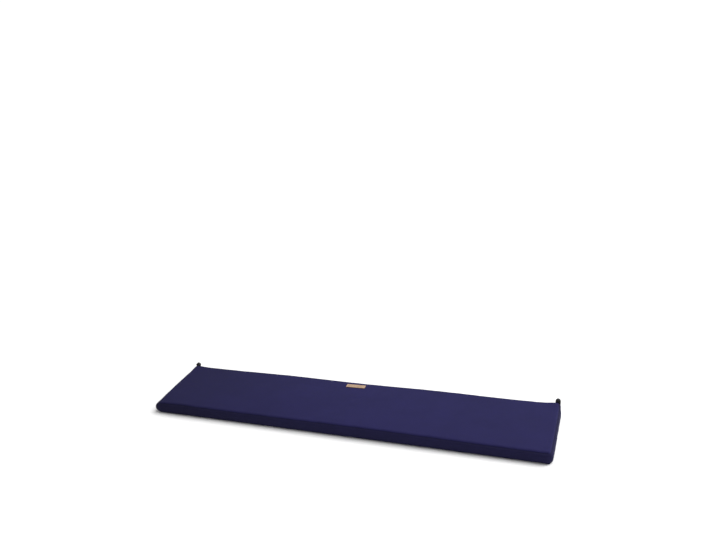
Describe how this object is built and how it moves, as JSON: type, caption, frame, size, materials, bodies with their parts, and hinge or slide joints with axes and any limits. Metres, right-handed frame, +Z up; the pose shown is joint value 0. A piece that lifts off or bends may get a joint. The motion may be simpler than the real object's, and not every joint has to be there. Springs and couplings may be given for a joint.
{
  "type": "sofa cushion",
  "caption": "Long, thin boxed seat pad for a sofa bench: foam-filled cloth cushion with a tie loop at each rear corner and a leather label on its top.",
  "frame": {"origin": "centre of the flat underside, on the surface that the pad rests on", "axes": "+X along the pad's length, +Y to the rear edge with the two tie loops, +Z up through its thickness"},
  "size_m": [1.6031, 0.3773, 0.071],
  "materials": {
    "cloth": "matt navy woven acrylic canvas",
    "leather": "natural vegetable-tanned leather",
    "webbing": "black ribbed elastic webbing"
  },
  "bodies": {
    "root": {"cushion": "cloth", "label": "leather", "loop_left": "webbing", "loop_right": "webbing"}
  },
  "joints": []
}
